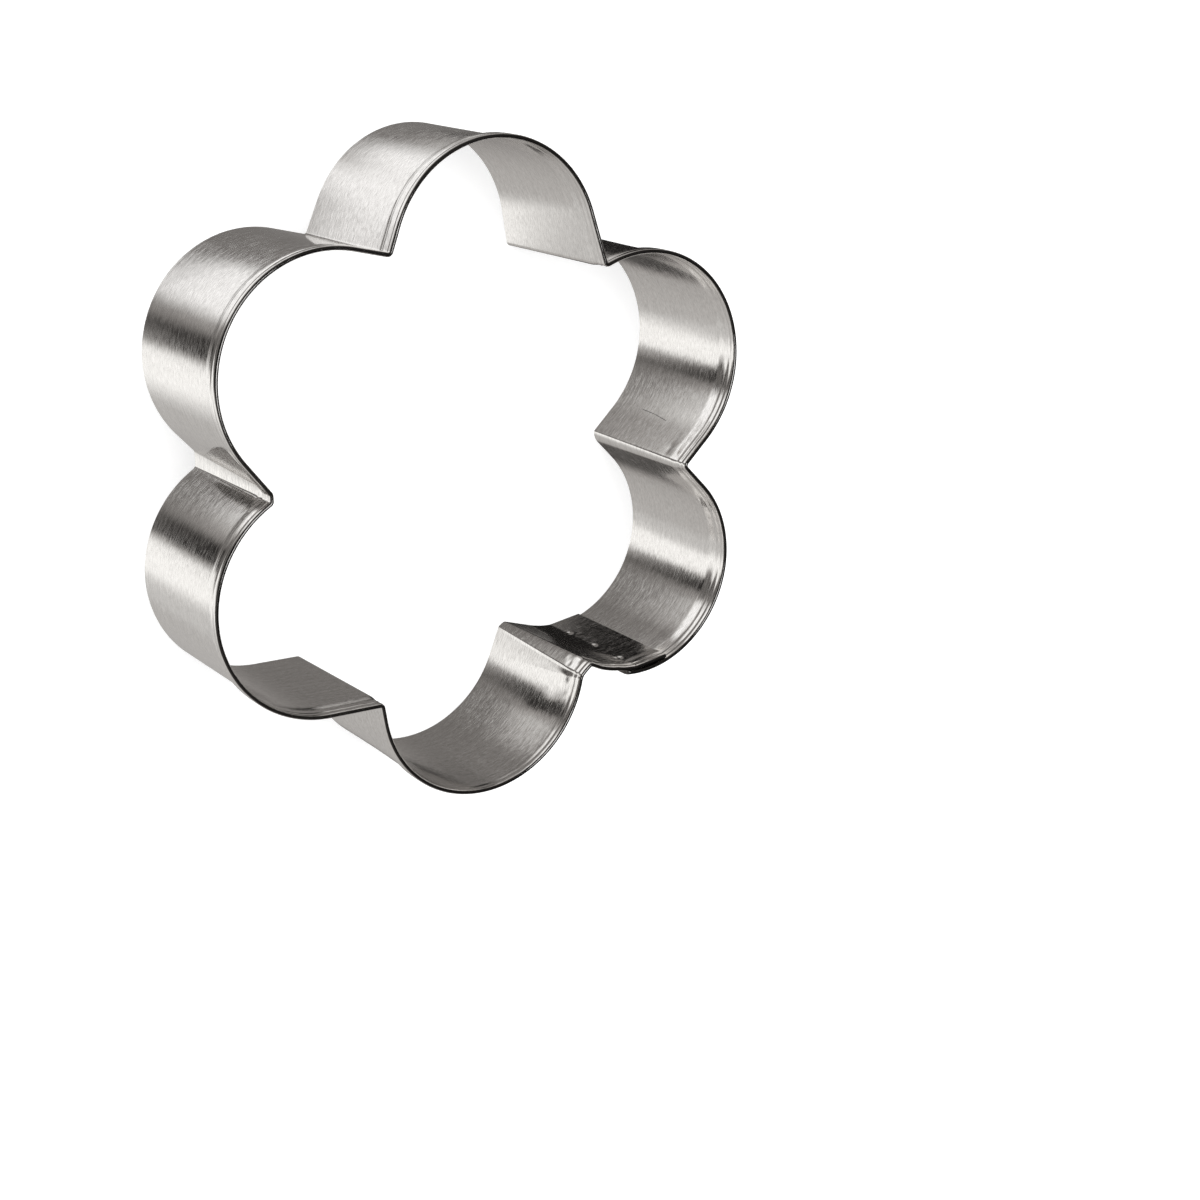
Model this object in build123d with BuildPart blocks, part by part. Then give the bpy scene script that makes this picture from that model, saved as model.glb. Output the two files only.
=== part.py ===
from build123d import *
from math import acos, atan2, degrees, hypot
import os

# Hand-bent flower cutter: one hemmed strip of tinned sheet, lapped and spot welded.
# Millimetres. It stands on its cutting edge, +Z points up to the hemmed rim,
# and the origin is on the cutting plane at the middle of the outline.
os.makedirs("parts", exist_ok=True)

# Driving dimensions
strip_depth = 25.4
sheet = 0.3
petal_radius = 17.5
petal_overlap = 2.5
notch_radius = 1.0
notch_flank = 5.0
hem_width = 2.5
hem_gap = 0.08
rim_set_out = 0.2
rim_bend_height = 1.2
fold_ease = 0.2
seam_from_notch = 5.1
lap_length = 8.1
lap_clearance = 0.05
lap_lead_in = 3.5
end_corner_radius = 1.0
weld_radius = 1.1
weld_dimple_radius = 0.85
weld_dimple_depth = 0.1
weld_from_end = 1.9
cut_overrun = 1.0

# The strip is bent by hand, so no two petals are quite alike. They are numbered
# counterclockwise from the first one past the +X axis, which points at a notch.
# The flanks are those of the notch that follows each petal.
petal_count = 6
first_petal_share = 0.5
petal_reach_shares = [1.0, 1.045, 0.952, 1.016, 1.012, 0.974]
petal_radius_shares = [1.018, 0.966, 1.015, 0.985, 1.002, 1.013]
petal_turn_degrees = [0.8, -1.3, -0.1, 2.3, -1.3, 0.2]
flank_before_shares = [0.5, 1.0, 0.5, 0.84, 1.0, 1.56]
flank_after_shares = [0.63, 1.0, 1.32, 1.02, 0.36, 0.92]
seam_petal = 1
weld_height_shares = [0.22, 0.51, 0.8]
lead_in_shares = [0, 0.33, 0.67, 1]

# On an even flower the petal centres are as far from the middle as from each other
petal_reach = 2 * petal_radius - petal_overlap
petal_step = 360 / petal_count
hem_thickness = 2 * sheet + hem_gap
half_sheet = sheet / 2


# Centre and radius of one petal's arc, at the middle of the sheet
def petal_circle(index):
    angle = petal_step * (index + first_petal_share) + petal_turn_degrees[index]
    centre = Vector(petal_reach * petal_reach_shares[index], 0).rotate(Axis.Z, angle)
    return centre, petal_radius * petal_radius_shares[index]


# Direction from a centre to a point, in degrees counterclockwise from +X
def bearing(centre, point):
    return degrees(atan2(point.Y - centre.Y, point.X - centre.X))


# Angle that a length along an arc spans
def spanned(length, radius):
    return degrees(length / radius)


# Notch after a petal: a tight arc with a straight flank on each side, tangent to both petals.
# Gives its centre and the directions in which the first petal's arc ends and the next one starts.
def notch_fold(index, first, second):
    first_centre, first_radius = first
    second_centre, second_radius = second
    before = notch_flank * flank_before_shares[index]
    after = notch_flank * flank_after_shares[index]
    apart = second_centre - first_centre
    near = hypot(first_radius + notch_radius, before)
    far = hypot(second_radius + notch_radius, after)
    angle = acos((near**2 + apart.length**2 - far**2) / (2 * near * apart.length))
    centre = first_centre + apart.normalized().rotate(Axis.Z, -degrees(angle)) * near
    petal_end = bearing(first_centre, centre) - degrees(atan2(before, first_radius + notch_radius))
    petal_start = bearing(second_centre, centre) + degrees(atan2(after, second_radius + notch_radius))
    return centre, petal_end, petal_start


# Upright plane that cuts the strip square: X points out of the flower, Y up
def cross_plane(centre, radius, angle):
    outward = Vector(1, 0).rotate(Axis.Z, angle)
    return Plane(centre + outward * radius, x_dir=outward, z_dir=outward.cross(Vector(0, 0, 1)))


# Cross-section of the strip: plain cutting edge below, rim folded flat to the outside
def strip_section(plane, set_out):
    hem_foot = strip_depth - hem_width
    bend_foot = hem_foot - rim_bend_height
    slot_top = strip_depth - sheet
    inner = set_out - half_sheet
    outer = inner + hem_thickness
    slot_inner = inner + sheet
    slot_outer = slot_inner + hem_gap
    with BuildSketch(plane) as section:
        with BuildLine():
            Polyline(
                (-half_sheet, 0),
                (-half_sheet, bend_foot),
                (inner, hem_foot),
                (inner, strip_depth - fold_ease),
                (inner + fold_ease, strip_depth),
                (outer - fold_ease, strip_depth),
                (outer, strip_depth - fold_ease),
                (outer, hem_foot),
                (slot_outer, hem_foot),
                (slot_outer, slot_top),
                (slot_inner, slot_top),
                (slot_inner, hem_foot),
                (half_sheet, bend_foot),
                (half_sheet, 0),
                close=True,
            )
        make_face()
    return section.sketch


# Petal circles in the order of the strip, from its outer end round the flower
# and back to the same petal, where the lapped end runs inside the first layer
circles = [petal_circle(index) for index in range(petal_count)]
seam_centre, seam_radius = circles[seam_petal]
lap_radius = seam_radius - sheet - lap_clearance
order = [(seam_petal + step) % petal_count for step in range(petal_count)]
ring = [circles[index] for index in order] + [(seam_centre, lap_radius)]
notches = [notch_fold(index, first, second) for index, first, second in zip(order, ring, ring[1:])]

# Places along the seam petal's arc, as directions from its centre
lap_start = notches[-1][-1]
lead_in_end = lap_start + spanned(lap_lead_in, lap_radius)
outer_end = lap_start + spanned(seam_from_notch, seam_radius)
inner_end = outer_end + spanned(lap_length, seam_radius)
weld_direction = Vector(1, 0).rotate(Axis.Z, outer_end + spanned(weld_from_end, seam_radius))
end_direction = Vector(1, 0).rotate(Axis.Z, outer_end)

# The strip's route round the flower: each petal's arc, then its notch between two flanks
with BuildLine() as route:
    start = outer_end
    for (centre, radius), (notch, end, next_start), (next_centre, next_radius) in zip(ring, notches, ring[1:]):
        petal = CenterArc(centre, radius, start, (end - start) % 360)
        fold_sweep = (end - next_start) % 360
        fold_line = CenterArc(notch, notch_radius, end + 180, -fold_sweep)
        Line(petal @ 1, fold_line @ 0)
        Line(fold_line @ 1, next_centre + Vector(next_radius, 0).rotate(Axis.Z, next_start))
        start = next_start
with BuildLine() as lap_route:
    CenterArc(seam_centre, lap_radius, lead_in_end, inner_end - lead_in_end)

# Behind the outer end's hem the lapped rim leans in by the thickness of that hem
lap_set_out = rim_set_out - sheet - hem_gap
lead_in_sections = [
    strip_section(
        cross_plane(seam_centre, lap_radius, lap_start + share * (lead_in_end - lap_start)),
        rim_set_out + share * (lap_set_out - rim_set_out),
    )
    for share in lead_in_shares
]
weld_foot = seam_centre + weld_direction * seam_radius
weld_planes = [
    Plane(weld_foot + Vector(0, 0, share * strip_depth), z_dir=weld_direction) for share in weld_height_shares
]
outer_layer_start = seam_radius + rim_set_out - half_sheet - lap_clearance / 2
end_plane = Plane(
    seam_centre + end_direction * outer_layer_start,
    x_dir=end_direction.rotate(Axis.Z, 90),
    z_dir=end_direction,
)

with BuildPart() as cutter_strip:
    first_section = strip_section(cross_plane(seam_centre, seam_radius, outer_end), rim_set_out)
    sweep(sections=first_section, path=route.wire())
    loft(sections=lead_in_sections, ruled=True)
    sweep(sections=lead_in_sections[-1], path=lap_route.wire())
    # The outer end's corner at the rim is rounded off, because hands meet it
    with BuildSketch(end_plane):
        with Locations((end_corner_radius, strip_depth - end_corner_radius)):
            Rectangle(
                end_corner_radius + cut_overrun,
                end_corner_radius + cut_overrun,
                align=(Align.MAX, Align.MIN),
            )
            Circle(end_corner_radius, mode=Mode.SUBTRACT)
    extrude(amount=hem_thickness + cut_overrun, mode=Mode.SUBTRACT)
    # The welds take their places out of both layers
    with BuildSketch(*weld_planes):
        Circle(weld_radius)
    extrude(amount=sheet + lap_clearance + cut_overrun, both=True, mode=Mode.SUBTRACT)

# Weld nuggets: the fused metal of both layers, dished on each face by the electrodes
outer_face = half_sheet
inner_face = -half_sheet - lap_clearance - sheet
dish_radius = (weld_dimple_radius**2 + weld_dimple_depth**2) / (2 * weld_dimple_depth)
dish_offset = dish_radius - weld_dimple_depth
stand_up = (Align.CENTER, Align.CENTER, Align.MIN)
with BuildPart() as spot_welds:
    with BuildSketch(*weld_planes):
        Circle(weld_radius)
    extrude(amount=sheet + lap_clearance + cut_overrun, both=True)
    with Locations(seam_centre):
        Cylinder(seam_radius + outer_face, strip_depth, align=stand_up, mode=Mode.INTERSECT)
        Cylinder(seam_radius + inner_face, strip_depth, align=stand_up, mode=Mode.SUBTRACT)
    for weld_plane in weld_planes:
        outer_dish = weld_plane.offset(outer_face + dish_offset)
        inner_dish = weld_plane.offset(inner_face - dish_offset)
        with Locations(outer_dish, inner_dish):
            Sphere(dish_radius, mode=Mode.SUBTRACT)

# The origin goes to the middle of the outline's box, on the cutting plane
middle = cutter_strip.part.bounding_box().center()
to_origin = Location((-middle.X, -middle.Y, 0))
for name, builder in (("cutter_strip", cutter_strip), ("spot_welds", spot_welds)):
    piece = builder.part.moved(to_origin)
    piece.label = name
    export_step(piece, f"parts/{name}.step")
    print(name, "solids", len(piece.solids()), "size", piece.bounding_box().size)
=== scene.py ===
import math
import bpy
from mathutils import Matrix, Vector, noise


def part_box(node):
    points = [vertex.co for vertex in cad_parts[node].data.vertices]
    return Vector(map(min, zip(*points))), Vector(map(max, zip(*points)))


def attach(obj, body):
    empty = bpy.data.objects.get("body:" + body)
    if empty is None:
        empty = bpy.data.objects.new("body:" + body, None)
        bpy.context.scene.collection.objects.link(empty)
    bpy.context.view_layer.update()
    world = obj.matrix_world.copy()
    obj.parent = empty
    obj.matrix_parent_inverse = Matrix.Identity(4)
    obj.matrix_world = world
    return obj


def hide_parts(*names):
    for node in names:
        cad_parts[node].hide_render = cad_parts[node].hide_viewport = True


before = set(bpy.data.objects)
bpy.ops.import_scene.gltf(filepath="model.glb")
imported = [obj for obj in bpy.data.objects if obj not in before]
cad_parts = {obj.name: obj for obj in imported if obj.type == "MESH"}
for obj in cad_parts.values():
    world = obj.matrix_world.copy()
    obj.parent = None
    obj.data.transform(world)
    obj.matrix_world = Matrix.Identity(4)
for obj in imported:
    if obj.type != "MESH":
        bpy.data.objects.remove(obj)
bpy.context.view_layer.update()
mm = 0.001
grainUnit = 10.0  # millimetres to one unit of the grain's UV
print("frame loaded")

# The strip's form, in millimetres and degrees, as it was bent round its blocks. Petals are
# numbered counterclockwise from +X, and each notch has the number of the petal before it.
# Flanks are the straight runs before and after a notch, at the cutting edge and at the rim.
# A fold bends with one radius for its share of the turn, runs nearly flat for a length,
# and bends on with another radius. The petals' shares and turns, and most of the flanks,
# are rounded results of programs that fitted the outline and the notches to the photograph.
stripForm = {
    "depth": 25.4,
    "sheet": 0.3,
    "petals": 6,
    "petalRadius": 17.5,
    "petalReach": 32.5,
    "reachShares": [1.0, 1.045, 0.952, 1.016, 1.012, 0.974],
    "radiusShares": [1.018, 0.966, 1.015, 0.985, 1.002, 1.013],
    "turns": [0.8, -1.3, -0.1, 2.3, -1.3, 0.2],
    "edgeFlanks": [(5.0, 5.0), (5.0, 5.0), (5.0, 5.0), (4.9, 4.9), (5.1, -1.4), (7.3, 6.8)],
    "rimFlanks": [(0.0, 3.15), (5.0, 5.0), (0.0, 8.3), (3.5, 5.3), (6.5, 0.0), (8.3, 2.4)],
    "notchRadius": 1.0,
    "edgeFolds": [
        (0.3, 0.4, 0.9, 0.4), (2.3, 0.44, 0.3, 0.3), (0.6, 0.46, 0.1, 0.6),
        (0.5, 0.46, 0.1, 0.5), (0.8, 0.34, 2.2, 0.3), (0.7, 0.46, 0.1, 0.7),
    ],
    "rimFolds": [
        (0.9, 0.36, 2.0, 0.9), (1.1, 0.44, 0.2, 0.9), (0.95, 0.46, 0.1, 0.95),
        (0.95, 0.46, 0.1, 0.95), (0.9, 0.32, 0.9, 0.9), (0.95, 0.46, 0.1, 0.95),
    ],
    "facetTurn": 0.08,  # share of the turn that the nearly flat length takes
    "slack": 0.3,
    "seamPetal": 1,
    "outerEnd": 25.0,
    "lapLength": 8.1,
    "lapClearance": 0.05,
    "pastLap": 2,  # how far the stations stay close together past the lap
    "leadInBefore": 5.5,  # where the lapped end has leaned in, before the outer end
    "lapEndTurn": 4,  # the straight end has turned its face after one part in this many
    "hemWidth": 2.5,
    "hemGap": 0.08,
    "rimSetOut": 0.2,
    "rimBendHeight": 1.2,
    "bendFoot": 0.3,  # the rim's bend is drawn out by this below, and by the next above
    "bendTop": 0.4,
    "softBend": {"ends": (284, 318), "blend": 5, "extra": 14.0, "linesLost": 0.6},
    "endCorner": 1.0,
    "cornerKeep": 0.02,
    "sharpAngle": 38,
    "steps": {
        "arc": 68, "firstArc": 48, "lapSpacing": 0.25, "flank": 9, "fold": 12,
        "leadIn": 12, "toWelds": 14, "lapEnd": 26,
    },
    # Heights as shares of the depth, and the ring squeezed out round each dish
    "welds": {
        "heights": [0.22, 0.51, 0.8],
        "fromEnd": 1.9,
        "reach": 0.78,
        "dish": 0.085,
        "ring": 0.03,
        "ringRadius": 1.0,
        "ringWidth": 0.25,
        "spread": 2,
    },
    # Height and length, how far they are drawn out over the depth, where each noise starts,
    # and the distance from the lap where they set in
    "waves": {
        "height": 0.035,
        "length": 14.0,
        "stretch": 1.6,
        "start": 3.7,
        "fineShare": 0.25,
        "fineLength": 0.35,
        "fineStart": 9.1,
        "fromLap": 3,
        "setIn": 6,
    },
    # Where the bending blocks pinched the strip: notch, distance along the strip from the
    # fold's middle, height, radius and depth outward
    "dents": [
        (4, 0.9, 16.9, 0.5, 0.05), (4, 0.8, 18.4, 0.35, -0.04),
        (4, 0.6, 21.3, 0.7, 0.1), (4, 1.6, 20.4, 0.6, -0.07),
        (1, 1.3, 19.8, 0.7, 0.06), (1, 2.4, 21.0, 1.0, -0.05), (1, 1.4, 22.0, 0.5, -0.05),
        (0, -0.5, 21.3, 0.5, 0.07), (0, 0.3, 19.6, 0.6, -0.05),
        (0, 0.6, 22.6, 0.5, 0.08), (0, -3.4, 21.0, 1.2, -0.06),
    ],
    "dentSpread": 3,
    # Lines beside the rolled rim: distance below it, width, and depth outward
    "pressedLines": {
        "inner": [(1.15, 0.22, 0.05), (0.62, 0.2, -0.035), (1.75, 0.3, -0.03)],
        "hem": [(1.0, 0.2, -0.05), (2.4, 0.25, -0.03)],
    },
    # The hem's cut edge and the slot behind it: the face it starts from, how far aside and up
    "hemEdge": {
        "lip": [("outer", -0.03, -0.05), ("outer", -0.15, -0.09), ("behind", 0.0, -0.06)],
        "slot": [("behind", 0.0, 0.35), ("wall", 0.02, 0.5)],
    },
    # The section's rows: heights, or a spacing and a count, after a start where there is one.
    # The rim's rows start that far below the rim, and the wall's end below the hem.
    "rows": {
        "edge": [0.0, 0.06, 0.3, 0.8],
        "wall": (1.5, 1.2, 16),
        "wallTop": 1.6,
        "welds": (0.26, 5),
        "weldClear": 1.3,
        "rim": (4.1, 0.27, 6),
        "hem": (0.16, 14),
        "foldSteps": 10,
        "outerTop": 0.5,
    },
}


def bearing(centre, point):
    return math.atan2(point.y - centre.y, point.x - centre.x)


def unit(angle):
    return Vector((math.cos(angle), math.sin(angle)))


def smoothStep(low, high, value):
    share = min(1.0, max(0.0, (value - low) / (high - low)))
    return share * share * (3 - 2 * share)


def bump(place, width, value):
    return math.exp(-(((value - place) / width) ** 2))


# Where two lines meet, each given by a point and a heading
def crossing(pointA, headingA, pointB, headingB):
    across = headingA.x * headingB.y - headingA.y * headingB.x
    apart = pointB - pointA
    return pointA + headingA * ((apart.x * headingB.y - apart.y * headingB.x) / across)


# Centre and radius of one petal's arc at the middle of the sheet
def petalCircle(index):
    angle = math.radians(360 / stripForm["petals"] * (index + 0.5) + stripForm["turns"][index])
    reach = stripForm["petalReach"] * stripForm["reachShares"][index]
    centre = Vector((reach * math.cos(angle), reach * math.sin(angle)))
    return centre, stripForm["petalRadius"] * stripForm["radiusShares"][index]


# The seam petal's centre, its radius, and the radius of the layer lapped inside it
def seamCircle():
    centre, radius = petalCircle(stripForm["seamPetal"])
    return centre, radius, radius - stripForm["sheet"] - stripForm["lapClearance"]


# Notch between two petals: where the first arc ends and the next one starts
def notchEnds(first, second, flanks):
    tight = stripForm["notchRadius"]
    near = math.hypot(first[1] + tight, flanks[0])
    far = math.hypot(second[1] + tight, flanks[1])
    apart = second[0] - first[0]
    angle = math.acos((near**2 + apart.length**2 - far**2) / (2 * near * apart.length))
    centre = first[0] + unit(bearing(first[0], second[0]) - angle) * near
    petalEnd = bearing(first[0], centre) - math.atan2(flanks[0], first[1] + tight)
    petalStart = bearing(second[0], centre) + math.atan2(flanks[1], second[1] + tight)
    return petalEnd, petalStart


# A notch's fold between its two straight flanks, as points with their outward directions
def foldPoints(corner, petalEnd, nextStart, fold):
    firstRadius, firstShare, flat, secondRadius = fold
    turn = (petalEnd - nextStart) % (2 * math.pi)
    facet = stripForm["facetTurn"]
    steps = stripForm["steps"]["fold"]
    bends = (
        (firstRadius, firstShare),
        (flat / (facet * turn), facet),
        (secondRadius, 1 - firstShare - facet),
    )
    points = [(Vector((0, 0)), unit(petalEnd))]
    facing = petalEnd
    for radius, share in bends:
        centre = points[-1][0] + unit(facing) * radius
        for i in range(1, steps + 1):
            ray = unit(facing - share * turn * i / steps)
            points.append((centre - ray * radius, ray))
        facing -= share * turn
    ahead, after = unit(petalEnd + math.pi / 2), unit(nextStart + math.pi / 2)
    before = crossing(Vector((0, 0)), ahead, points[-1][0], after).dot(ahead)
    return [(corner - ahead * before + point, outward) for point, outward in points]


# Stations are (point, outward direction, set-out). These two leave out the first one.
def arcStations(centre, radius, start, sweep, count, setOut, lastSetOut=None):
    change = 0 if lastSetOut is None else lastSetOut - setOut
    stations = []
    for i in range(1, count + 1):
        ray = unit(start + sweep * i / count)
        stations.append((centre + ray * radius, ray, setOut + change * i / count))
    return stations


def flankStations(first, end, outward, setOut):
    count = stripForm["steps"]["flank"]
    return [(first.lerp(end, i / count), outward, setOut) for i in range(1, count + 1)]


# The lapped end: it leans in, runs to the welds, and past them is left straight
def lapStations(start):
    centre, seamRadius, radius = seamCircle()
    steps = stripForm["steps"]
    setOut = stripForm["rimSetOut"]
    lapSetOut = setOut - stripForm["sheet"] - stripForm["hemGap"]
    outerEnd = math.radians(stripForm["outerEnd"])
    innerEnd = outerEnd + stripForm["lapLength"] / seamRadius
    leadInEnd = outerEnd - math.radians(stripForm["leadInBefore"])
    weldPlace = outerEnd + stripForm["welds"]["fromEnd"] / seamRadius
    leadIn = leadInEnd - start, steps["leadIn"]
    toWelds = weldPlace - leadInEnd, steps["toWelds"]
    stations = arcStations(centre, radius, start, *leadIn, setOut, lapSetOut)
    stations += arcStations(centre, radius, leadInEnd, *toWelds, lapSetOut)
    first, end = stations[-1][0], centre + unit(innerEnd) * radius
    facing = (weldPlace + innerEnd) / 2
    count = steps["lapEnd"]
    for i in range(1, count + 1):
        turned = weldPlace + (facing - weldPlace) * min(1, stripForm["lapEndTurn"] * i / count)
        stations.append((first.lerp(end, i / count), unit(turned), lapSetOut))
    return stations


# One run of the strip's middle line, at the cutting edge or at the rim, as stations from its
# outer end round to the lapped inner end, and the place in it of each notch
def stripRun(flanks, folds):
    petals, steps, setOut = stripForm["petals"], stripForm["steps"], stripForm["rimSetOut"]
    seamCentre, seamRadius, lapRadius = seamCircle()
    order = [(stripForm["seamPetal"] + step) % petals for step in range(petals)]
    ring = [petalCircle(index) for index in order] + [(seamCentre, lapRadius)]
    start = math.radians(stripForm["outerEnd"])
    nearEnd = stripForm["lapLength"] + stripForm["pastLap"]
    run = [(seamCentre + unit(start) * seamRadius, unit(start), setOut)]
    notchPlaces = {}
    for number, index in enumerate(order):
        (centre, radius), (nextCentre, nextRadius) = ring[number], ring[number + 1]
        petalEnd, nextStart = notchEnds(ring[number], ring[number + 1], flanks[index])
        ahead, after = unit(petalEnd + math.pi / 2), unit(nextStart + math.pi / 2)
        last = centre + unit(petalEnd) * radius
        first = nextCentre + unit(nextStart) * nextRadius
        corner = crossing(last, ahead, first, after)
        fold = foldPoints(corner, petalEnd, nextStart, folds[index])
        # Where the fold takes more than the flank, the petal's arc gives way to it
        beforeFold = max(0, stripForm["slack"] - (fold[0][0] - last).dot(ahead))
        afterFold = max(0, stripForm["slack"] - (first - fold[-1][0]).dot(after))
        arcEnd = petalEnd - beforeFold / radius
        arcStart = nextStart + afterFold / nextRadius
        sweep = (arcEnd - start) % (2 * math.pi)
        count = steps["arc"]
        if number == 0:
            near = nearEnd / radius
            closeCount = round(nearEnd / steps["lapSpacing"])
            run += arcStations(centre, radius, start, near, closeCount, setOut)
            start, sweep, count = start + near, sweep - near, steps["firstArc"]
        run += arcStations(centre, radius, start, sweep, count, setOut)
        run += flankStations(run[-1][0], *fold[0], setOut)
        notchPlaces[index] = len(run) + len(fold) // 2
        run += [(point, outward, setOut) for point, outward in fold[1:]]
        ray = unit(arcStart)
        run += flankStations(run[-1][0], nextCentre + ray * nextRadius, ray, setOut)
        start = arcStart
    return run + lapStations(start), notchPlaces


# The strip's course: stations with their distance along it and their places at the edge and
# the rim, its length, and where the notches and the two layers' welds are along it
def stripCourse():
    edgeRun, notchPlaces = stripRun(stripForm["edgeFlanks"], stripForm["edgeFolds"])
    rimRun, _ = stripRun(stripForm["rimFlanks"], stripForm["rimFolds"])
    stations = []
    along = 0.0
    for i, (edge, rim) in enumerate(zip(edgeRun, rimRun)):
        if i:
            edgeStep, rimStep = edge[0] - edgeRun[i - 1][0], rim[0] - rimRun[i - 1][0]
            along += (edgeStep.length + rimStep.length) / 2
        stations.append({"along": along, "edge": edge, "rim": rim})
    _, _, lapRadius = seamCircle()
    inward = lapRadius / (lapRadius + stripForm["sheet"])
    fromEnd = stripForm["welds"]["fromEnd"]
    fromInner = (stripForm["lapLength"] - fromEnd) * inward
    return {
        "stations": stations,
        "length": along,
        "notches": {index: stations[place]["along"] for index, place in notchPlaces.items()},
        "welds": {"outer": fromEnd, "inner": along - fromInner},
    }


# Section of the strip as pairs of a kind of row and a value, which is its height except on
# the fold, where it is an angle, and at the lip and slot, where it is a number. They go up the
# inner face, over the fold, down the hem and into its slot, and down the outer face.
def sectionRows():
    depth, rowForm, hemEdge = stripForm["depth"], stripForm["rows"], stripForm["hemEdge"]
    hemFoot = depth - stripForm["hemWidth"]
    start, spacing, count = rowForm["wall"]
    heights = set(rowForm["edge"])
    heights.update(start + spacing * i for i in range(count))
    spacing, count = rowForm["welds"]
    for share in stripForm["welds"]["heights"]:
        middle = share * depth
        heights = {h for h in heights if abs(h - middle) > rowForm["weldClear"]}
        heights.update(middle + spacing * i for i in range(-count, count + 1))
    wall = sorted(h for h in heights if h < hemFoot - rowForm["wallTop"])
    start, spacing, count = rowForm["rim"]
    rimRows = [depth - start + spacing * i for i in range(count)]
    spacing, count = rowForm["hem"]
    hemRows = [hemFoot + spacing * i for i in range(count)]
    turns = rowForm["foldSteps"]
    rows = [("inner", h) for h in wall + rimRows + hemRows]
    rows += [("fold", math.pi * (1 - i / turns)) for i in range(turns + 1)]
    rows += [("hem", h) for h in reversed(hemRows)]
    rows += [(kind, i) for kind in ("lip", "slot") for i in range(len(hemEdge[kind]))]
    rows += [("outer", h) for h in reversed(wall + rimRows + [hemFoot + rowForm["outerTop"]])]
    return rows


# How far the rim's bend is drawn out down the wall: on one petal it is a gentle one
def softBend(along):
    (start, end), blur = stripForm["softBend"]["ends"], stripForm["softBend"]["blend"]
    rising = smoothStep(start - blur, start + blur, along)
    return rising * smoothStep(-blur - end, blur - end, -along)


def pressed(kind, fromRim, face):
    lines = stripForm["pressedLines"][kind]
    return sum((deep * bump(place, width, fromRim) for place, width, deep in lines), face)


# Side and height of one row of the section, in millimetres
def rowPlace(kind, value, setOut, soft=0.0):
    depth, hemWidth, sheet, gap = (stripForm[k] for k in ("depth", "hemWidth", "sheet", "hemGap"))
    half = sheet / 2
    hemFoot = depth - hemWidth
    drawn = soft * stripForm["softBend"]["extra"]
    bendFoot = hemFoot - stripForm["rimBendHeight"] - stripForm["bendFoot"] - drawn
    lean = setOut * smoothStep(bendFoot, hemFoot + stripForm["bendTop"], value)
    thick = 2 * sheet + gap
    inner, outer = setOut - half, setOut - half + thick
    radius = thick / 2
    if kind == "inner":
        kept = 1 - stripForm["softBend"]["linesLost"] * soft
        return lean - half + pressed(kind, depth - value, 0) * kept, value
    if kind == "fold":
        rise = radius * math.sin(value)
        return (inner + outer) / 2 + radius * math.cos(value), depth - radius + rise
    if kind == "hem":
        return pressed(kind, depth - value, outer), value
    if kind in stripForm["hemEdge"]:
        face, aside, up = stripForm["hemEdge"][kind][value]
        faces = {"outer": outer, "behind": inner + sheet + gap, "wall": inner + sheet}
        return faces[face] + aside, hemFoot + up
    return half + lean, value


# Waves and dents of the hand-bent wall, outward, in millimetres. The lap lies still.
def wallWave(along, height, course):
    waves = stripForm["waves"]
    wave = waves["length"]
    low = Vector((along / wave, height / (waves["stretch"] * wave), waves["start"]))
    fine = Vector((along / (waves["fineLength"] * wave), height / wave, waves["fineStart"]))
    seam = stripForm["lapLength"] + waves["fromLap"]
    free = smoothStep(seam, seam + waves["setIn"], along)
    free *= smoothStep(seam, seam + waves["setIn"], course["length"] - along)
    swing = noise.noise(low) + waves["fineShare"] * noise.noise(fine)
    side = free * waves["height"] * swing
    for notch, offset, place, radius, deep in stripForm["dents"]:
        away = math.hypot(along - course["notches"][notch] - offset, height - place)
        if away < stripForm["dentSpread"] * radius:
            side += deep * bump(0, radius, away)
    return side


# A weld's dish with the ring squeezed out round it, into the sheet
def weldDish(away):
    welds = stripForm["welds"]
    dish = welds["dish"] * max(0, 1 - (away / welds["reach"]) ** 2)
    return dish - welds["ring"] * bump(welds["ringRadius"], welds["ringWidth"], away)


# Height that the outer end's rounded corner leaves
def endCeiling(along):
    depth, corner = stripForm["depth"], stripForm["endCorner"]
    if along >= corner:
        return depth
    return depth - corner + math.sqrt(corner**2 - (corner - along) ** 2)


# Side and height of one row at a station, with its waves, dents and welds
def formedRow(kind, value, station, course):
    along, depth, welds = station["along"], stripForm["depth"], stripForm["welds"]
    side, height = rowPlace(kind, value, station["edge"][2], softBend(along))
    ceiling = endCeiling(along)
    if height > ceiling:
        height = ceiling - stripForm["cornerKeep"] * (depth - height)
    side += wallWave(along, height, course)
    if kind in course["welds"]:
        for share in welds["heights"]:
            away = math.hypot(along - course["welds"][kind], height - share * depth)
            if away < welds["spread"]:
                side += weldDish(away) * (1 if kind == "inner" else -1)
    return side, height


# A station's points round the section, in metres, held inside the box of the CAD node
def stationPoints(station, rows, course, middle, box):
    (edgePoint, edgeOutward, _), (rimPoint, rimOutward, _) = station["edge"], station["rim"]
    points = []
    for kind, value in rows:
        side, height = formedRow(kind, value, station, course)
        share = height / stripForm["depth"]
        outward = edgeOutward.lerp(rimOutward, share).normalized()
        place = edgePoint.lerp(rimPoint, share) + outward * side - middle
        spot = (place.x * mm, place.y * mm, height * mm)
        points.append([min(max(c, low), high) for c, low, high in zip(spot, *box)])
    return points


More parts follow.
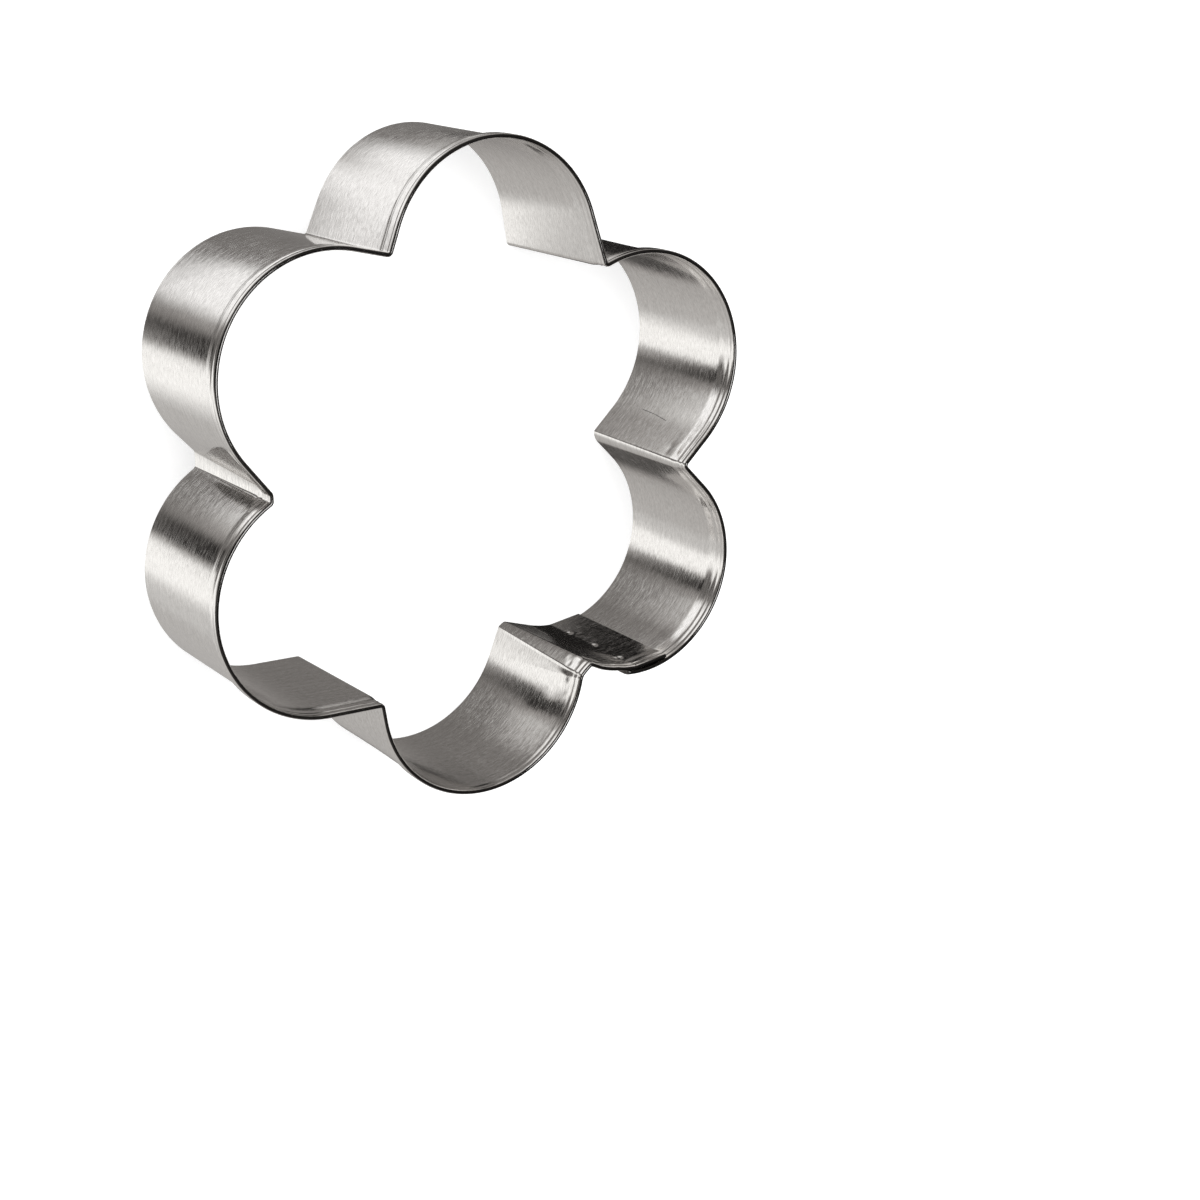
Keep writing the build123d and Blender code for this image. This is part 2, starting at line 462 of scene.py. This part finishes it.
# The strip's faces, and the grain at their corners: along the strip and round its section
def stripFaces(course, rows):
    stations, across = course["stations"], len(rows)
    girth = [0.0]
    for row, nextRow in zip(rows, rows[1:] + rows[:1]):
        here = Vector(rowPlace(*row, stripForm["rimSetOut"]))
        there = Vector(rowPlace(*nextRow, stripForm["rimSetOut"]))
        girth.append(girth[-1] + (there - here).length)
    faces, grain = [], []
    for i in range(len(stations) - 1):
        near, far = stations[i]["along"], stations[i + 1]["along"]
        for j in range(across):
            k = (j + 1) % across
            faces.append((i * across + j, (i + 1) * across + j, (i + 1) * across + k, i * across + k))
            grain.append([(near, girth[j]), (far, girth[j]), (far, girth[j + 1]), (near, girth[j + 1])])
    last = (len(stations) - 1) * across
    faces.append(tuple(range(across)))
    grain.append([(0, girth[j]) for j in range(across)])
    faces.append(tuple(last + j for j in reversed(range(across))))
    grain.append([(course["length"], girth[j]) for j in reversed(range(across))])
    return faces, grain


# Middle of the box round the rim's outer face, which is the frame's origin
def outlineMiddle(stations):
    thick = 2 * stripForm["sheet"] + stripForm["hemGap"]
    hemFace = stripForm["rimSetOut"] - stripForm["sheet"] / 2 + thick
    rim = [s["rim"][0] + s["rim"][1] * hemFace for s in stations]
    xs, ys = [p.x for p in rim], [p.y for p in rim]
    return Vector(((max(xs) + min(xs)) / 2, (max(ys) + min(ys)) / 2))


def addMesh(name, points, faces):
    mesh = bpy.data.meshes.new(name)
    mesh.from_pydata(points, [], faces)
    thing = bpy.data.objects.new(name, mesh)
    bpy.context.scene.collection.objects.link(thing)
    return thing


def buildStrip():
    course, rows = stripCourse(), sectionRows()
    stations = course["stations"]
    middle = outlineMiddle(stations)
    print("middle of the outline", [round(c, 4) for c in middle])
    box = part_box("cutter_strip")
    points = []
    for station in stations:
        points += stationPoints(station, rows, course, middle, box)
    faces, grain = stripFaces(course, rows)
    piece = addMesh("hemmedStrip", points, faces)
    mesh = piece.data
    layer = mesh.uv_layers.new(name="grain")
    layer.data.foreach_set("uv", [c / grainUnit for face in grain for pair in face for c in pair])
    mesh.polygons.foreach_set("use_smooth", [True] * len(mesh.polygons))
    mesh.set_sharp_from_angle(angle=math.radians(stripForm["sharpAngle"]))
    mesh.validate()
    mesh.update()
    length = round(course["length"], 1)
    print("strip built:", len(stations), "stations,", len(mesh.polygons), "faces, length", length)
    return piece


def newMaterial(name):
    material = bpy.data.materials.new(name)
    material.use_nodes = True
    material.node_tree.nodes.clear()
    return material, material.node_tree


def addNode(tree, kind, **settings):
    node = tree.nodes.new(kind)
    for key, value in settings.items():
        setattr(node, key, value)
    return node


def link(tree, source, target):
    tree.links.new(source, target)


def ramp(tree, stops, factor):
    node = addNode(tree, "ShaderNodeValToRGB")
    line = node.color_ramp
    while len(line.elements) < len(stops):
        line.elements.new(0.5)
    for element, (place, tone) in zip(line.elements, stops):
        element.position = place
        element.color = (*tone, 1) if isinstance(tone, tuple) else (tone, tone, tone, 1)
    link(tree, factor, node.inputs["Fac"])
    return node.outputs["Color"]


# One value mapped from a range to another
def scaled(tree, value, low, high, start, end, **settings):
    node = addNode(tree, "ShaderNodeMapRange", **settings)
    limits = (("From Min", low), ("From Max", high), ("To Min", start), ("To Max", end))
    for name, number in limits:
        node.inputs[name].default_value = number
    link(tree, value, node.inputs["Value"])
    return node.outputs["Result"]


def softStep(tree, value, place, soft, start, end):
    return scaled(tree, value, place - soft, place + soft, start, end, interpolation_type="SMOOTHSTEP")


# Two values mixed. The share and the second one may be numbers.
def mixed(tree, first, second, share):
    node = addNode(tree, "ShaderNodeMix", data_type="FLOAT")
    for name, value in (("Factor", share), ("A", first), ("B", second)):
        if isinstance(value, (int, float)):
            node.inputs[name].default_value = value
        else:
            link(tree, value, node.inputs[name])
    return node.outputs["Result"]


def sums(tree, operation, *values):
    node = addNode(tree, "ShaderNodeMath", operation=operation)
    for index, value in enumerate(values):
        if isinstance(value, (int, float)):
            node.inputs[index].default_value = value
        else:
            link(tree, value, node.inputs[index])
    return node.outputs[0]


# Tinned sheet, brushed along the strip. A tilt is half the greatest slope by which a stroke
# leans the surface, along the strip or across it. Strokes have a width in millimetres, a
# length in widths, how much finer noise they hold, and a start. The fine scratch on an inner
# face is two straight ones end to end, each from and to a distance along the strip and a height.
tinFinish = {
    "dark": (0.69, 0.672, 0.654),
    "light": (0.86, 0.84, 0.82),
    "colourRange": (0.36, 0.62),
    "longShare": 0.3,
    "roughness": (0.09, 0.26),
    "glossRange": (0.42, 0.66),
    "longGlossShare": 0.25,
    "anisotropy": 0.5,
    "anisotropyTurn": 0.25,
    "tiltAlong": 0.016,
    "tiltAcross": 0.009,
    "noiseRoughness": 0.6,
    "strokes": {
        "fine": (0.18, 5, 2, 0.0),
        "long": (0.6, 14, 2, 0.0),
        "gloss": (0.18, 8, 2, 3.1),
        "turn": (0.18, 8, 1, 5.7),
        "lift": (0.18, 10, 1, 8.3),
    },
    "scratchDark": 0.3,
    "scratchWidth": 0.1,
    "scratchCore": 0.3,  # share of it that is fully dark
    "scratchEnds": (0.4, 0.55),  # where it thins out, as shares of its length from its middle
    "scratches": [((55.1, 7.3), (54.9, 10.9)), ((54.9, 10.9), (54.4, 14.6))],
}


# Noise drawn out along the strip
def strokes(tree, coordinates, name):
    width, stretch, detail, start = tinFinish["strokes"][name]
    mapping = addNode(tree, "ShaderNodeMapping")
    mapping.inputs["Scale"].default_value = (grainUnit / (width * stretch), grainUnit / width, 1)
    mapping.inputs["Location"].default_value = (start, start, 0)
    texture = addNode(tree, "ShaderNodeTexNoise", noise_dimensions="2D")
    texture.inputs["Scale"].default_value = 1
    texture.inputs["Detail"].default_value = detail
    texture.inputs["Roughness"].default_value = tinFinish["noiseRoughness"]
    link(tree, coordinates, mapping.inputs["Vector"])
    link(tree, mapping.outputs["Vector"], texture.inputs["Vector"])
    return texture.outputs["Fac"]


# Share of a scratch at a place, thinning out to its ends
def scratchMask(tree, uv, start, end):
    run = Vector(end) - Vector(start)
    width = tinFinish["scratchWidth"]
    place = addNode(tree, "ShaderNodeMapping", vector_type="TEXTURE")
    place.inputs["Location"].default_value = (start[0] / grainUnit, start[1] / grainUnit, 0)
    place.inputs["Rotation"].default_value = (0, 0, math.atan2(run.y, run.x))
    place.inputs["Scale"].default_value = (run.length / grainUnit, width / grainUnit, 1)
    link(tree, uv, place.inputs["Vector"])
    split = addNode(tree, "ShaderNodeSeparateXYZ")
    link(tree, place.outputs["Vector"], split.inputs["Vector"])
    fromLine = sums(tree, "ABSOLUTE", split.outputs["Y"])
    fromMiddle = sums(tree, "ABSOLUTE", sums(tree, "SUBTRACT", split.outputs["X"], 0.5))
    across = scaled(tree, fromLine, tinFinish["scratchCore"], 1, 1, 0)
    return sums(tree, "MULTIPLY", across, scaled(tree, fromMiddle, *tinFinish["scratchEnds"], 1, 0))


# The tin's colour: darker and lighter strokes, and the scratch over them
def tinColour(tree, uv, long):
    low, high = tinFinish["colourRange"]
    brushed = mixed(tree, strokes(tree, uv, "fine"), long, tinFinish["longShare"])
    colour = ramp(tree, [(low, tinFinish["dark"]), (high, tinFinish["light"])], brushed)
    first, *others = tinFinish["scratches"]
    scratched = scratchMask(tree, uv, *first)
    for start, end in others:
        scratched = sums(tree, "MAXIMUM", scratched, scratchMask(tree, uv, start, end))
    worn = addNode(tree, "ShaderNodeMix", data_type="RGBA", blend_type="MULTIPLY")
    link(tree, scratched, worn.inputs["Factor"])
    link(tree, colour, worn.inputs[6])  # a colour Mix has its A and B at 6 and 7, its Result at 2
    worn.inputs[7].default_value = (*[tinFinish["scratchDark"]] * 3, 1)
    return worn.outputs[2]


# The tin's surface direction, leaned a little by single strokes
def tinRelief(tree, uv):
    lean = addNode(tree, "ShaderNodeCombineXYZ")
    lean.inputs["Z"].default_value = 1
    for name, axis, key in (("turn", "X", "tiltAlong"), ("lift", "Y", "tiltAcross")):
        tilt = tinFinish[key]
        slope = scaled(tree, strokes(tree, uv, name), 0, 1, 0.5 - tilt, 0.5 + tilt)
        link(tree, slope, lean.inputs[axis])
    relief = addNode(tree, "ShaderNodeNormalMap", space="TANGENT", uv_map="grain")
    link(tree, lean.outputs["Vector"], relief.inputs["Color"])
    return relief.outputs["Normal"]


def brushedTin():
    material, tree = newMaterial("brushedTin")
    output = addNode(tree, "ShaderNodeOutputMaterial")
    metal = addNode(tree, "ShaderNodeBsdfPrincipled")
    link(tree, metal.outputs["BSDF"], output.inputs["Surface"])
    metal.inputs["Metallic"].default_value = 1
    metal.inputs["Anisotropic"].default_value = tinFinish["anisotropy"]
    metal.inputs["Anisotropic Rotation"].default_value = tinFinish["anisotropyTurn"]
    tangent = addNode(tree, "ShaderNodeTangent", direction_type="UV_MAP", uv_map="grain")
    link(tree, tangent.outputs["Tangent"], metal.inputs["Tangent"])
    uv = addNode(tree, "ShaderNodeUVMap", uv_map="grain").outputs["UV"]
    long = strokes(tree, uv, "long")
    link(tree, tinColour(tree, uv, long), metal.inputs["Base Color"])
    gloss = mixed(tree, strokes(tree, uv, "gloss"), long, tinFinish["longGlossShare"])
    gloss = scaled(tree, gloss, *tinFinish["glossRange"], *tinFinish["roughness"])
    link(tree, gloss, metal.inputs["Roughness"])
    link(tree, tinRelief(tree, uv), metal.inputs["Normal"])
    return material


strip = buildStrip()
tin = brushedTin()
strip.data.materials.append(tin)
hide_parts("cutter_strip")
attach(strip, "root")
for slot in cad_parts["spot_welds"].material_slots:
    slot.material = tin
print("tin put on the strip and the welds")


# A panel of cloth: from and to, how soft each end is, the height where it begins and how
# softly, its tone, and whether it hangs above that height or below it
def panel(ends, soft, height, blur, tone=1.0, above=True):
    return {"ends": ends, "soft": soft, "height": height, "blur": blur, "tone": tone, "above": above}


# A light tent stands round the cutter, and only the metal mirrors it. Directions are in
# degrees from +X, heights in millimetres, and tones are shares of white. The panels hang in
# front of the cloth, each in front of the ones before it. The cloth's tone, swing and bright
# direction, and the panels lowerCloth, softBox, leftCard, sideBox, gap, wideFlag and darkFlag,
# come from a program's fit to the photograph's brightness, with some of them changed.
tentForm = {
    "radius": 160.0,
    "low": -1000.0,
    "high": 260.0,
    "segments": 96,
    "strength": 1.3,
    "lampRadius": 60.0,
    "lampSegments": 48,
    "lampDrop": 5,
    "lampStrength": 1.1,
    "tints": [
        (0.0, (1.0, 0.945, 0.9)),
        (0.25, (1.0, 0.955, 0.92)),
        (0.5, (1.0, 0.99, 0.97)),
        (1.0, (1.0, 1.0, 0.985)),
    ],
    "clothTone": 0.285,
    "clothSwing": 0.135,
    "clothBright": 346.0,
    "riseFoot": -500,  # the rise's places are shares of the way from here up to the roof
    "rise": [(0.0, 1.0), (0.61, 1.0), (0.655, 0.9), (0.7, 0.16), (0.75, 0.05), (1.0, 0.05)],
    "panels": {
        "lowerCloth": panel((185, 293), (12, 7), -217, 21, 0.15, above=False),
        "softBox": panel((303, 343), (7, 16), -700, 50, 0.9),
        "dimmedTop": panel((332, 352), (7, 9), -228, 14, 0.5),
        "leftCard": panel((162, 205), (11, 9), -173, 7, 0.54),
        "sideBox": panel((224, 269), (16, 7), -196, 42, 0.85),
        "gap": panel((280.5, 301), (6, 5), -236, 24, 0.02),
        "overGap": panel((272, 310), (8, 8), -150, 14, 0.12),
        "upperCloth": panel((188, 244), (8, 12), -148, 14, 0.28),
        "wideFlag": panel((58, 94), (11, 10), -224, 15, 0.06),
        "darkFlag": panel((104, 172), (4, 8), -196, 8, 0.01),
        "topBand": panel((95, 185), (8, 8), -104, 10, 0.24),
    },
}
# A bright curved card stands nearer, where only the outer faces mirror it, in two panels
cardForm = {
    "radius": 100.0,
    "ends": (195, 285),
    "heights": (-140.0, -20.0),
    "segments": 40,
    "strength": 1.17,
    "panels": {
        "wide": panel((230, 267), (9, 7), -110, 11),
        "high": panel((208, 242), (9, 9), -88, 9),
    },
}


# The metal alone sees it, and the floor and the camera don't
def hangForMetal(thing, material):
    thing.visible_camera = False
    thing.visible_diffuse = False
    thing.visible_transmission = False
    thing.visible_shadow = False
    thing.data.materials.append(material)


def glowMaterial(name):
    material, tree = newMaterial(name)
    glow = addNode(tree, "ShaderNodeEmission")
    output = addNode(tree, "ShaderNodeOutputMaterial")
    link(tree, glow.outputs["Emission"], output.inputs["Surface"])
    return material, tree, glow


# Share of the view that a panel covers in a direction and at a height
def panelCover(tree, direction, height, form):
    middle = sum(form["ends"]) / 2
    half = middle - form["ends"][0]
    turned = sums(tree, "WRAP", sums(tree, "SUBTRACT", direction, middle), -180, 180)
    rising = softStep(tree, turned, -half, form["soft"][0], 0, 1)
    falling = softStep(tree, turned, half, form["soft"][1], 1, 0)
    hung = softStep(tree, height, form["height"], form["blur"], *((0, 1) if form["above"] else (1, 0)))
    return sums(tree, "MULTIPLY", sums(tree, "MULTIPLY", rising, falling), hung)


# Direction from the middle in radians, and height in millimetres, of a place that glows
def aroundAndUp(tree):
    split = addNode(tree, "ShaderNodeSeparateXYZ")
    link(tree, addNode(tree, "ShaderNodeTexCoord").outputs["Object"], split.inputs["Vector"])
    angle = sums(tree, "ARCTAN2", split.outputs["Y"], split.outputs["X"])
    return angle, sums(tree, "DIVIDE", split.outputs["Z"], mm)


def ringPoints(count, radius):
    angles = [2 * math.pi * i / count for i in range(count)]
    return [(math.cos(angle) * radius, math.sin(angle) * radius) for angle in angles]


def buildTent():
    count = tentForm["segments"]
    ring = ringPoints(count, tentForm["radius"] * mm)
    points = [(x, y, z * mm) for z in (tentForm["low"], tentForm["high"]) for x, y in ring]
    faces = [(i, (i + 1) % count, count + (i + 1) % count, count + i) for i in range(count)]
    faces.append(tuple(range(count, 2 * count)))
    tent = addMesh("lightTent", points, faces)
    material, tree, glow = glowMaterial("tentCloth")
    angle, height = aroundAndUp(tree)
    swing = sums(tree, "COSINE", sums(tree, "SUBTRACT", angle, math.radians(tentForm["clothBright"])))
    tone = sums(tree, "MULTIPLY_ADD", swing, tentForm["clothSwing"], tentForm["clothTone"])
    for form in tentForm["panels"].values():
        cover = panelCover(tree, sums(tree, "DEGREES", angle), height, form)
        tone = mixed(tree, tone, form["tone"], cover)
    share = scaled(tree, height, tentForm["riseFoot"], tentForm["high"], 0, 1)
    shade = sums(tree, "MULTIPLY", tone, ramp(tree, tentForm["rise"], share))
    link(tree, ramp(tree, tentForm["tints"], shade), glow.inputs["Color"])
    link(tree, sums(tree, "MULTIPLY", shade, tentForm["strength"]), glow.inputs["Strength"])
    hangForMetal(tent, material)


def buildCard():
    count = cardForm["segments"]
    start, end = (math.radians(a) for a in cardForm["ends"])
    rays = [unit(start + (end - start) * i / count) * cardForm["radius"] for i in range(count + 1)]
    points = [(ray.x * mm, ray.y * mm, z * mm) for z in cardForm["heights"] for ray in rays]
    faces = [(i, i + 1, count + 2 + i, count + 1 + i) for i in range(count)]
    card = addMesh("nearCard", points, faces)
    material, tree = newMaterial("cardFace")
    angle, height = aroundAndUp(tree)
    direction = sums(tree, "DEGREES", angle)
    covers = [panelCover(tree, direction, height, form) for form in cardForm["panels"].values()]
    glow = addNode(tree, "ShaderNodeEmission")
    glow.inputs["Strength"].default_value = cardForm["strength"]
    clear = addNode(tree, "ShaderNodeBsdfTransparent")
    both = addNode(tree, "ShaderNodeMixShader")
    link(tree, sums(tree, "MAXIMUM", *covers), both.inputs["Fac"])
    link(tree, clear.outputs["BSDF"], both.inputs[1])
    link(tree, glow.outputs["Emission"], both.inputs[2])
    output = addNode(tree, "ShaderNodeOutputMaterial")
    link(tree, both.outputs["Shader"], output.inputs["Surface"])
    hangForMetal(card, material)


# A round lamp hangs under the middle of the tent's roof
def buildTentLamp():
    count = tentForm["lampSegments"]
    height = (tentForm["high"] - tentForm["lampDrop"]) * mm
    ring = ringPoints(count, tentForm["lampRadius"] * mm)
    lamp = addMesh("tentLamp", [(x, y, height) for x, y in ring], [tuple(range(count))])
    material, tree, glow = glowMaterial("lampGlow")
    glow.inputs["Strength"].default_value = tentForm["lampStrength"]
    hangForMetal(lamp, material)


# The stage, in metres. The floor lies a hair below the cutting edge, and glows a little for
# the camera alone, which makes it white there.
stageForm = {
    "floorHalf": 2.5,
    "floorDrop": 0.00005,
    "floorTone": 0.85,
    "floorGlow": 0.5,
    "lampSize": 1.2,
    "lampEnergy": 14,
    "lampPlace": (-0.2, -0.2, 1.3),
    "skyLevel": 0.55,
}


def buildFloor():
    half, height = stageForm["floorHalf"], -stageForm["floorDrop"]
    corners = [(-half, -half), (half, -half), (half, half), (-half, half)]
    floor = addMesh("floor", [(x, y, height) for x, y in corners], [(0, 1, 2, 3)])
    floor.visible_glossy = False
    material, tree = newMaterial("paleFloor")
    output = addNode(tree, "ShaderNodeOutputMaterial")
    paper = addNode(tree, "ShaderNodeBsdfDiffuse")
    paper.inputs["Color"].default_value = (*[stageForm["floorTone"]] * 3, 1)
    glow = addNode(tree, "ShaderNodeEmission")
    seen = addNode(tree, "ShaderNodeLightPath").outputs["Is Camera Ray"]
    link(tree, sums(tree, "MULTIPLY", seen, stageForm["floorGlow"]), glow.inputs["Strength"])
    both = addNode(tree, "ShaderNodeAddShader")
    link(tree, paper.outputs["BSDF"], both.inputs[0])
    link(tree, glow.outputs["Emission"], both.inputs[1])
    link(tree, both.outputs["Shader"], output.inputs["Surface"])
    floor.data.materials.append(material)


def buildLights():
    light = bpy.data.lights.new("softBox", "AREA")
    light.shape = "SQUARE"
    light.size = stageForm["lampSize"]
    light.energy = stageForm["lampEnergy"]
    lamp = bpy.data.objects.new("softBox", light)
    lamp.location = stageForm["lampPlace"]
    lamp.rotation_euler = (-lamp.location).to_track_quat("-Z", "Y").to_euler()
    lamp.visible_glossy = False
    bpy.context.scene.collection.objects.link(lamp)
    world = bpy.data.worlds.new("studio")
    bpy.context.scene.world = world
    world.use_nodes = True
    tree = world.node_tree
    tree.nodes.clear()
    output = addNode(tree, "ShaderNodeOutputWorld")
    sky = addNode(tree, "ShaderNodeBackground")
    sky.inputs["Color"].default_value = (1, 1, 1, 1)
    link(tree, sky.outputs["Background"], output.inputs["Surface"])
    seen = addNode(tree, "ShaderNodeLightPath").outputs["Is Camera Ray"]
    link(tree, scaled(tree, seen, 0, 1, stageForm["skyLevel"], 1), sky.inputs["Strength"])


# The photograph's viewing angle, from the fit of the outline: metres, millimetres of lens
# and sensor, and degrees
cameraForm = {
    "lens": 63.13,
    "sensor": 36,
    "clipStart": 0.01,
    "place": (0.0223, -0.18352, 0.28452),
    "turn": (-18.827, -35.273, 124.43),
}


def buildCamera():
    lens = bpy.data.cameras.new("camera")
    lens.lens = cameraForm["lens"]
    lens.sensor_width = cameraForm["sensor"]
    lens.clip_start = cameraForm["clipStart"]
    camera = bpy.data.objects.new("camera", lens)
    camera.location = cameraForm["place"]
    camera.rotation_euler = [math.radians(angle) for angle in cameraForm["turn"]]
    bpy.context.scene.collection.objects.link(camera)
    bpy.context.scene.camera = camera


buildTent()
buildCard()
buildTentLamp()
print("light tent hung")
buildFloor()
buildLights()
buildCamera()
bpy.context.scene.view_settings.view_transform = "Standard"
print("stage built")

bpy.context.view_layer.update()
